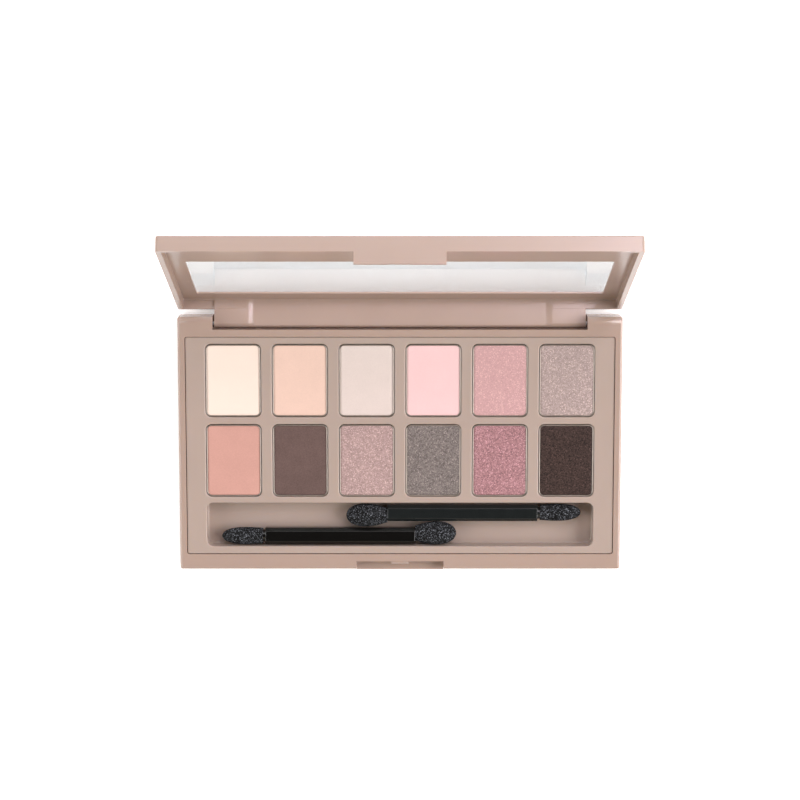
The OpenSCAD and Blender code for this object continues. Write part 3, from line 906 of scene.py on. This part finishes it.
def sponge(name, length, half_y, half_z, neck, swell, seed):
    """A sponge from its neck at x = 0 to its nose, pitted by open pores."""
    rings = []
    for level in range(foam_rings + 1):
        share = (1 - math.cos(math.pi * level / foam_rings)) / 2
        width = max(foam_point, sponge_width(share, neck, swell))
        ring = []
        for side in range(foam_sides):
            turn = 2 * math.pi * side / foam_sides
            out = Vector((0, math.cos(turn), math.sin(turn)))
            point = Vector((share * length, half_y * width * out.y, half_z * width * out.z))
            spot = point / mm + Vector((0, 0, seed_step * seed))
            pit = noise.noise(spot * pore_scale) + fine_share * noise.noise(spot * fine_scale)
            depth = (foam_sink + foam_swing * pit) * min(1, 4 * width)
            ring.append(point - out * max(0, depth))
        rings.append(ring)
    return loft(name, rings)


for seed, which in enumerate(applicators, 1):
    whole = applicator_lengths(which)[2]
    bar_low, bar_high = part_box(which + "_applicator_handle")
    bar_y = (bar_low.y + bar_high.y) / 2
    turned = 1 if which == "front" else -1
    for tip, (neck, swell) in tip_forms.items():
        node_name = which + "_applicator_" + tip + "_tip"
        low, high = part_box(node_name)
        length = high.x - low.x
        half_y = (high.y - low.y) / 2
        half_z = (high.z - low.z) / 2
        shift = Matrix.Translation((0, turned * ((low.y + high.y) / 2 - bar_y), 0))
        foam_tip = sponge(which + "_" + tip + "_foam", length, half_y, half_z, neck, swell,
                          seed)
        if tip == "large":
            root = Matrix.Translation((whole - length, 0, 0))
        else:
            root = Matrix.Translation((length, 0, 0)) @ Matrix.Rotation(math.pi, 4, "Z")
        foam_tip.data.transform(applicator_place(which) @ shift @ root)
        soften(foam_tip)
        coat(foam_tip, foam_stuff, which + "_applicator", "foam", node_name)

# ---------------------------------------------------------------- Floor, light and camera
# A plain pale table in a soft studio: a broad key from the right, a fill from the left, a weak
# warm light in front, a neutral one behind, and a narrow strip behind the lid that catches
# the leaf. The room is pale at the sides and dim overhead.
table = Finish("pale_table")
table_cloud = table.grain(scale=6)
table_top = table.finish(Base_Color=table.mix(paint("fbfbfb"), paint("ffffff"), table_cloud),
                         Roughness=0.9, Emission_Color=paint("ffffff"),
                         Emission_Strength=0.3)
table_size = 3.0
floor = piece("floor", [(-table_size, -table_size, 0), (table_size, -table_size, 0),
                        (table_size, table_size, 0), (-table_size, table_size, 0)],
              [(0, 1, 2, 3)])
floor.data.materials.append(table_top)


def softbox(name, place, size, watts, tint=(1, 1, 1)):
    """A rectangular lamp aimed at the case."""
    light = bpy.data.lights.new(name, "AREA")
    light.shape = "RECTANGLE"
    light.size = size[0]
    light.size_y = size[1]
    light.energy = watts
    light.color = tint
    made = bpy.data.objects.new(name, light)
    made.location = place
    aim = Vector((0, 0, 0.01)) - Vector(place)
    made.rotation_euler = aim.to_track_quat("-Z", "Y").to_euler()
    bpy.context.scene.collection.objects.link(made)


softbox("key", (1.4, 0.05, 1.0), size=(1.1, 1.1), watts=35.0, tint=(1, 0.975, 0.99))
softbox("fill", (-1.5, -0.1, 0.85), size=(1.1, 1.0), watts=17.0)
softbox("front", (0, -1.2, 1.35), size=(1.6, 0.6), watts=3.4, tint=(1, 0.82, 0.5))
softbox("back", (0, 1.3, 1.3), size=(1.9, 0.8), watts=11.5, tint=(1, 0.99, 1))
softbox("strip", (0.2, 0.54, 0.84), size=(0.04, 0.25), watts=1.5, tint=(1, 0.86, 0.97))

room = Finish("room", room=True)
height = room.node("SeparateXYZ", None, {"Vector": room.place}, out="Z")
walls = (0.80, 0.79, 0.78, 1)
ceiling = (0.06, 0.06, 0.06, 1)
dome = room.node("ValToRGB", {"stops": [(0.55, walls), (0.9, ceiling)]}, {"Fac": height})
sky = room.node("Background", None, {"Color": dome, "Strength": 0.7})
room.node("OutputWorld", None, {"Surface": sky})
bpy.context.scene.world = room.owner
bpy.context.scene.view_settings.view_transform = "Standard"

camera_height = 758.93 * mm
camera_setback = 132.72 * mm
camera_tilt = -8.87
focal_length = 113.70
sensor_width = 36
lens = bpy.data.cameras.new("camera")
lens.lens = focal_length
lens.sensor_width = sensor_width
camera = bpy.data.objects.new("camera", lens)
camera.location = (0, tray_middle + camera_setback, rim + camera_height)
camera.rotation_euler = (math.radians(camera_tilt), 0, 0)
bpy.context.scene.collection.objects.link(camera)
bpy.context.scene.camera = camera
